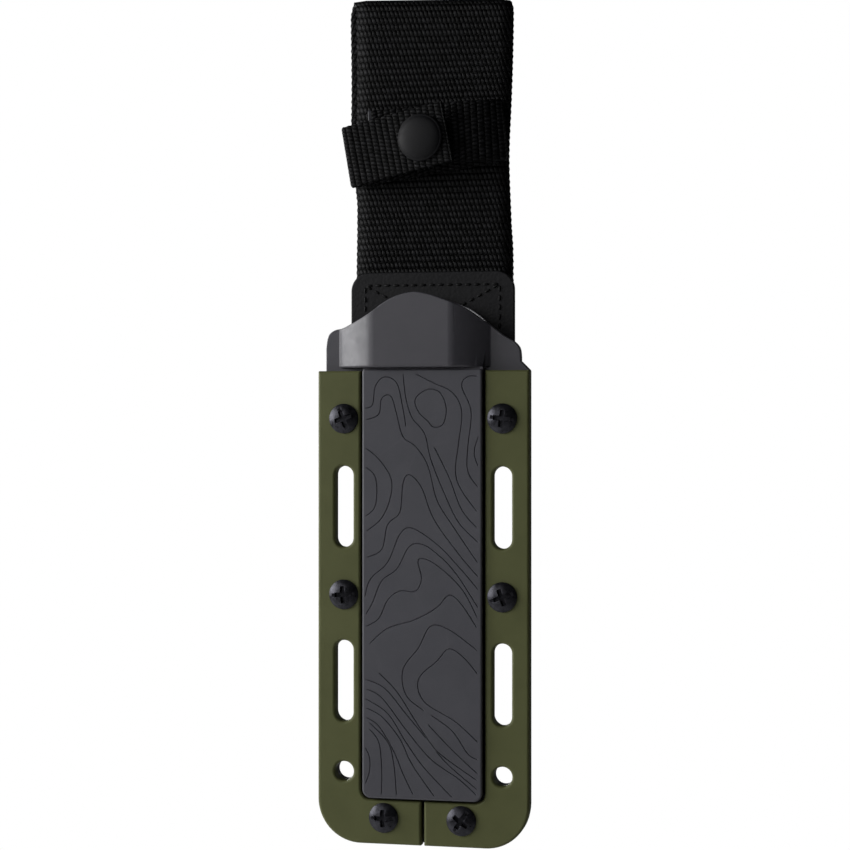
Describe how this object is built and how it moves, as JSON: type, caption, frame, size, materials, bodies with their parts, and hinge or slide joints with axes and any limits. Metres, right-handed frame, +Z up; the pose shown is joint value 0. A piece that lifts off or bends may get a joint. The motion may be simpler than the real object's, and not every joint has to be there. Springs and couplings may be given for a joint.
{
  "type": "belt sheath",
  "caption": "Hard belt sheath for a fixed-blade tool: two moulded half shells between slotted strap rails, hung from a webbing belt loop with a snap keeper strap.",
  "frame": {"origin": "middle of the belt opening, inside the folded webbing loop at the top", "axes": "+Z up along the sheath towards the loop's fold, front of the sheath to -Y, +X to the right seen from the front"},
  "size_m": [0.0686, 0.0311, 0.272],
  "materials": {
    "shell": "fine moulded texture, satin at the mouth",
    "rail": "matte olive green",
    "hardware": "black oxide, satin",
    "tab": "black coated sheet with sewn thread",
    "webbing": "coarse black nylon weave",
    "snap": "black enamel, satin"
  },
  "bodies": {
    "belt_loop": {"webbing_loop": "webbing", "keeper_base": "webbing"},
    "sheath": {"front_shell": "shell", "back_shell": "shell", "left_rail": "rail", "right_rail": "rail", "screw_top_left": "hardware", "screw_top_right": "hardware", "screw_middle_left": "hardware", "screw_middle_right": "hardware", "screw_foot_left": "hardware", "screw_foot_right": "hardware", "post_nut_top_left": "hardware", "post_nut_top_right": "hardware", "post_nut_middle_left": "hardware", "post_nut_middle_right": "hardware", "post_nut_foot_left": "hardware", "post_nut_foot_right": "hardware", "hanger_tab": "tab", "webbing_tail_front": "webbing", "webbing_tail_back": "webbing"},
    "snap_arm": {"keeper_outer_arm": "webbing", "snap_cap": "snap", "snap_socket": "snap"},
    "stud_arm": {"keeper_inner_arm": "webbing", "snap_stud": "snap", "snap_post": "snap"}
  },
  "joints": [
    {"name": "belt_loop_fold", "type": "hinge", "parent": "belt_loop", "child": "sheath", "pos_m": [0, -0.003, -0.058], "axis": [1, 0, 0], "range_deg": [-80, 85], "stiffness_Nm_per_rad": 0.1, "springref_deg": -6.22},
    {"name": "snap_arm_open", "type": "hinge", "parent": "belt_loop", "child": "snap_arm", "pos_m": [-0.0264, -0.00745, -0.0225], "axis": [0.1908, 0, -0.9816], "range_deg": [0, 120]},
    {"name": "stud_arm_open", "type": "hinge", "parent": "belt_loop", "child": "stud_arm", "pos_m": [0.0219, -0.00745, -0.0154], "axis": [-0.0523, 0, 0.9986], "range_deg": [0, 15]}
  ],
  "couplings": [
    {"joint": "stud_arm_open", "follows": "snap_arm_open", "ratio": 0.125}
  ]
}
